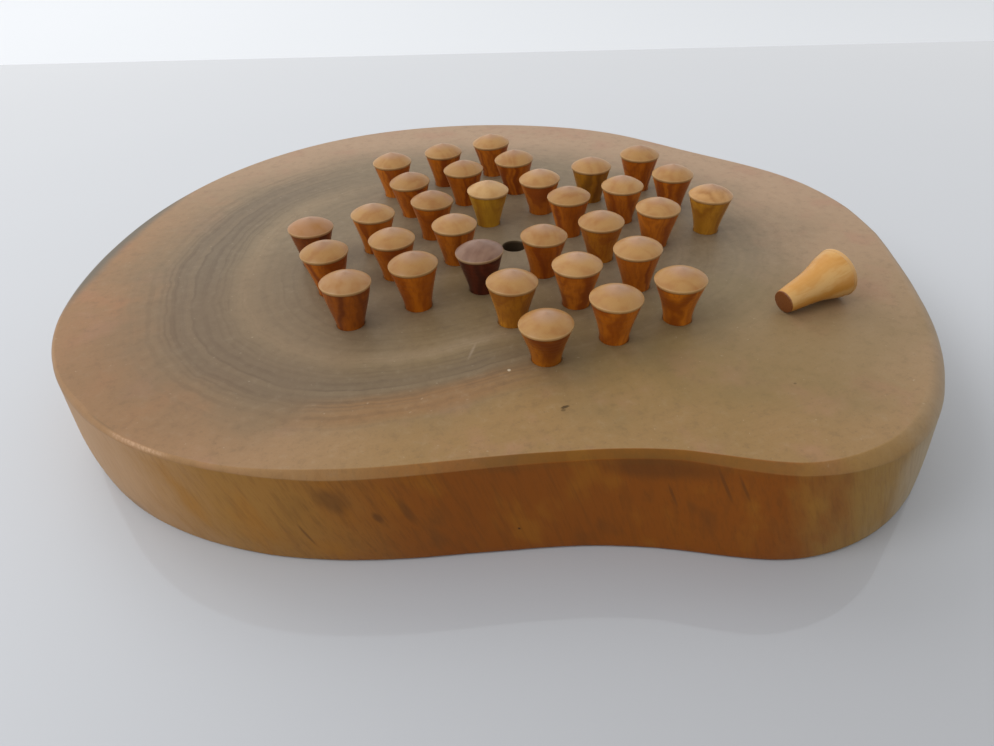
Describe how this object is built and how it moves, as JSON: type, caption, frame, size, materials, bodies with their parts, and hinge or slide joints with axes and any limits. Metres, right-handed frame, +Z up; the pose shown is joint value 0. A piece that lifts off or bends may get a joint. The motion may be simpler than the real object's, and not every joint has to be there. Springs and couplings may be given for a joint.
{
  "type": "peg solitaire board",
  "caption": "Free-form wooden slab, sawn across the trunk, with a cross of blind holes that hold turned wooden pegs with domed heads. Each peg lifts out.",
  "frame": {"origin": "on the underside of the board, straight below the centre hole", "axes": "+Z up out of the holes, +X to the right along the rows of holes, +Y away from the player"},
  "size_m": [0.2534, 0.2554, 0.0467],
  "materials": {
    "board_wood": "end grain with growth rings, rubbed satin varnish, reddish brown sawn sides",
    "peg_wood": "turned, orange-brown, semi-gloss, paler end-grain dome",
    "peg_wood_yellow": "turned, golden yellow, semi-gloss",
    "peg_wood_dark": "turned, dark purple-brown heartwood, semi-gloss",
    "peg_wood_golden": "turned, golden orange, semi-gloss, dark end grain at the tip"
  },
  "bodies": {
    "board": {"board": "board_wood"},
    "peg_a3": {"peg_a3": "peg_wood"},
    "peg_a4": {"peg_a4": "peg_wood"},
    "peg_a5": {"peg_a5": "peg_wood"},
    "peg_b3": {"peg_b3": "peg_wood"},
    "peg_b4": {"peg_b4": "peg_wood"},
    "peg_b5": {"peg_b5": "peg_wood"},
    "peg_c1": {"peg_c1": "peg_wood"},
    "peg_c2": {"peg_c2": "peg_wood"},
    "peg_c3": {"peg_c3": "peg_wood"},
    "peg_c4": {"peg_c4": "peg_wood_yellow"},
    "peg_c5": {"peg_c5": "peg_wood"},
    "peg_c6": {"peg_c6": "peg_wood"},
    "peg_c7": {"peg_c7": "peg_wood"},
    "peg_d1": {"peg_d1": "peg_wood"},
    "peg_d2": {"peg_d2": "peg_wood"},
    "peg_d3": {"peg_d3": "peg_wood"},
    "peg_d5": {"peg_d5": "peg_wood"},
    "peg_d6": {"peg_d6": "peg_wood"},
    "peg_d7": {"peg_d7": "peg_wood"},
    "peg_e1": {"peg_e1": "peg_wood"},
    "peg_e2": {"peg_e2": "peg_wood"},
    "peg_e3": {"peg_e3": "peg_wood_dark"},
    "peg_e4": {"peg_e4": "peg_wood"},
    "peg_e5": {"peg_e5": "peg_wood"},
    "peg_e6": {"peg_e6": "peg_wood"},
    "peg_e7": {"peg_e7": "peg_wood"},
    "peg_f3": {"peg_f3": "peg_wood"},
    "peg_f4": {"peg_f4": "peg_wood"},
    "peg_f5": {"peg_f5": "peg_wood"},
    "peg_g3": {"peg_g3": "peg_wood"},
    "peg_g4": {"peg_g4": "peg_wood"},
    "peg_g5": {"peg_g5": "peg_wood"},
    "peg_spare": {"peg_spare": "peg_wood_golden"}
  },
  "joints": [
    {"name": "lift_a3", "type": "slide", "parent": "board", "child": "peg_a3", "axis": [0, 0, 1], "range_m": [0, 0.03]},
    {"name": "lift_a4", "type": "slide", "parent": "board", "child": "peg_a4", "axis": [0, 0, 1], "range_m": [0, 0.03]},
    {"name": "lift_a5", "type": "slide", "parent": "board", "child": "peg_a5", "axis": [0, 0, 1], "range_m": [0, 0.03]},
    {"name": "lift_b3", "type": "slide", "parent": "board", "child": "peg_b3", "axis": [0, 0, 1], "range_m": [0, 0.03]},
    {"name": "lift_b4", "type": "slide", "parent": "board", "child": "peg_b4", "axis": [0, 0, 1], "range_m": [0, 0.03]},
    {"name": "lift_b5", "type": "slide", "parent": "board", "child": "peg_b5", "axis": [0, 0, 1], "range_m": [0, 0.03]},
    {"name": "lift_c1", "type": "slide", "parent": "board", "child": "peg_c1", "axis": [0, 0, 1], "range_m": [0, 0.03]},
    {"name": "lift_c2", "type": "slide", "parent": "board", "child": "peg_c2", "axis": [0, 0, 1], "range_m": [0, 0.03]},
    {"name": "lift_c3", "type": "slide", "parent": "board", "child": "peg_c3", "axis": [0, 0, 1], "range_m": [0, 0.03]},
    {"name": "lift_c4", "type": "slide", "parent": "board", "child": "peg_c4", "axis": [0, 0, 1], "range_m": [0, 0.03]},
    {"name": "lift_c5", "type": "slide", "parent": "board", "child": "peg_c5", "axis": [0, 0, 1], "range_m": [0, 0.03]},
    {"name": "lift_c6", "type": "slide", "parent": "board", "child": "peg_c6", "axis": [0, 0, 1], "range_m": [0, 0.03]},
    {"name": "lift_c7", "type": "slide", "parent": "board", "child": "peg_c7", "axis": [0, 0, 1], "range_m": [0, 0.03]},
    {"name": "lift_d1", "type": "slide", "parent": "board", "child": "peg_d1", "axis": [0, 0, 1], "range_m": [0, 0.03]},
    {"name": "lift_d2", "type": "slide", "parent": "board", "child": "peg_d2", "axis": [0, 0, 1], "range_m": [0, 0.03]},
    {"name": "lift_d3", "type": "slide", "parent": "board", "child": "peg_d3", "axis": [0, 0, 1], "range_m": [0, 0.03]},
    {"name": "lift_d5", "type": "slide", "parent": "board", "child": "peg_d5", "axis": [0, 0, 1], "range_m": [0, 0.03]},
    {"name": "lift_d6", "type": "slide", "parent": "board", "child": "peg_d6", "axis": [0, 0, 1], "range_m": [0, 0.03]},
    {"name": "lift_d7", "type": "slide", "parent": "board", "child": "peg_d7", "axis": [0, 0, 1], "range_m": [0, 0.03]},
    {"name": "lift_e1", "type": "slide", "parent": "board", "child": "peg_e1", "axis": [0, 0, 1], "range_m": [0, 0.03]},
    {"name": "lift_e2", "type": "slide", "parent": "board", "child": "peg_e2", "axis": [0, 0, 1], "range_m": [0, 0.03]},
    {"name": "lift_e3", "type": "slide", "parent": "board", "child": "peg_e3", "axis": [0, 0, 1], "range_m": [0, 0.03]},
    {"name": "lift_e4", "type": "slide", "parent": "board", "child": "peg_e4", "axis": [0, 0, 1], "range_m": [0, 0.03]},
    {"name": "lift_e5", "type": "slide", "parent": "board", "child": "peg_e5", "axis": [0, 0, 1], "range_m": [0, 0.03]},
    {"name": "lift_e6", "type": "slide", "parent": "board", "child": "peg_e6", "axis": [0, 0, 1], "range_m": [0, 0.03]},
    {"name": "lift_e7", "type": "slide", "parent": "board", "child": "peg_e7", "axis": [0, 0, 1], "range_m": [0, 0.03]},
    {"name": "lift_f3", "type": "slide", "parent": "board", "child": "peg_f3", "axis": [0, 0, 1], "range_m": [0, 0.03]},
    {"name": "lift_f4", "type": "slide", "parent": "board", "child": "peg_f4", "axis": [0, 0, 1], "range_m": [0, 0.03]},
    {"name": "lift_f5", "type": "slide", "parent": "board", "child": "peg_f5", "axis": [0, 0, 1], "range_m": [0, 0.03]},
    {"name": "lift_g3", "type": "slide", "parent": "board", "child": "peg_g3", "axis": [0, 0, 1], "range_m": [0, 0.03]},
    {"name": "lift_g4", "type": "slide", "parent": "board", "child": "peg_g4", "axis": [0, 0, 1], "range_m": [0, 0.03]},
    {"name": "lift_g5", "type": "slide", "parent": "board", "child": "peg_g5", "axis": [0, 0, 1], "range_m": [0, 0.03]},
    {"name": "lift_spare", "type": "slide", "parent": "board", "child": "peg_spare", "axis": [0, 0, 1], "range_m": [0, 0.03]}
  ]
}
